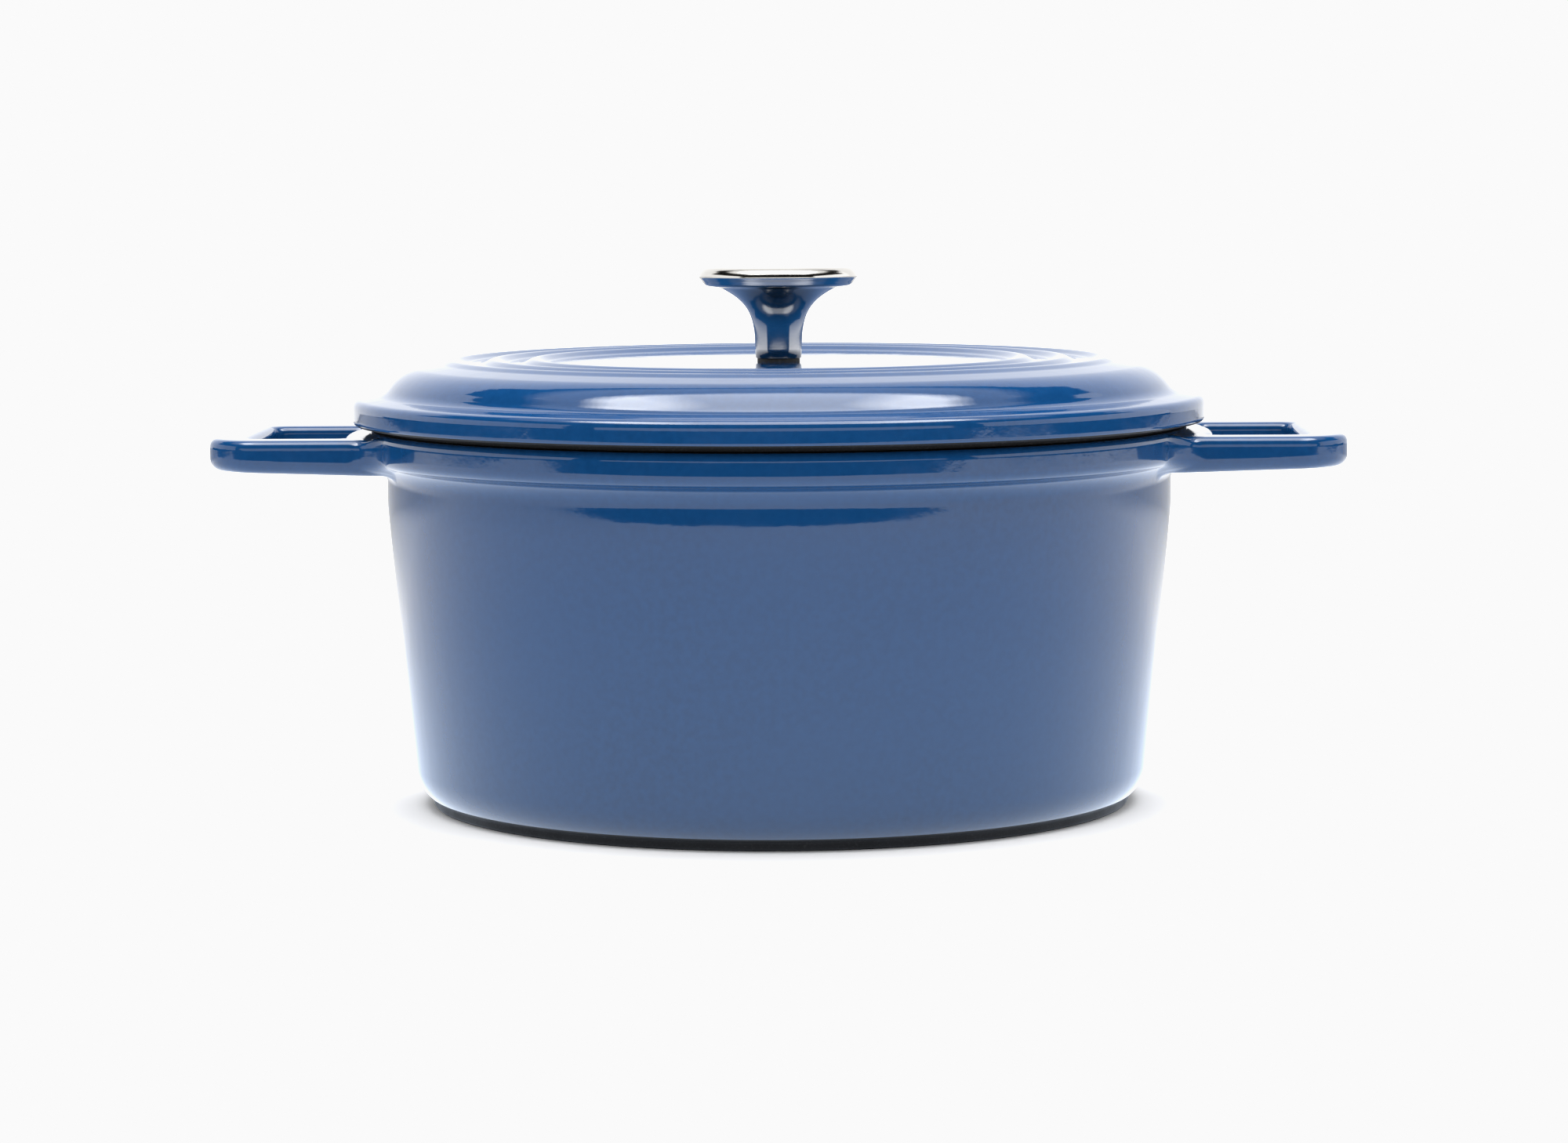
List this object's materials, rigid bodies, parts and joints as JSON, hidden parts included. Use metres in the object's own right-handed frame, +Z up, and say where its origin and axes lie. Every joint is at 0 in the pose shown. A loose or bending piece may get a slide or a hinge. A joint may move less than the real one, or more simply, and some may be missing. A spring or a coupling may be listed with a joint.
{
  "type": "dutch oven",
  "caption": "Round enamelled cast iron dutch oven with square loop handles, a ringed lid that lifts off and a flared metal knob.",
  "frame": {"origin": "middle of the pot's footprint, on the table", "axes": "+X along the line through both handles, +Z up; the picture looks roughly along +Y"},
  "size_m": [0.3956, 0.3004, 0.1893],
  "materials": {
    "pot_enamel": "glossy blue enamel outside, matte black enamel inside, on the rim and underneath",
    "lid_enamel": "glossy blue enamel on top, matte black enamel underneath and on the rim",
    "knob_steel": "satin polished",
    "gasket_rubber": "matte",
    "fastener_steel": "plain"
  },
  "bodies": {
    "pot": {"pot_body": "pot_enamel"},
    "lid": {"lid": "lid_enamel", "knob": "knob_steel", "knob_gasket": "gasket_rubber", "knob_screw": "fastener_steel", "flat_washer": "fastener_steel", "lock_washer": "fastener_steel"}
  },
  "joints": [
    {"name": "lid_lift", "type": "slide", "parent": "pot", "child": "lid", "axis": [0, 0, 1], "range_m": [0, 0.18]}
  ]
}
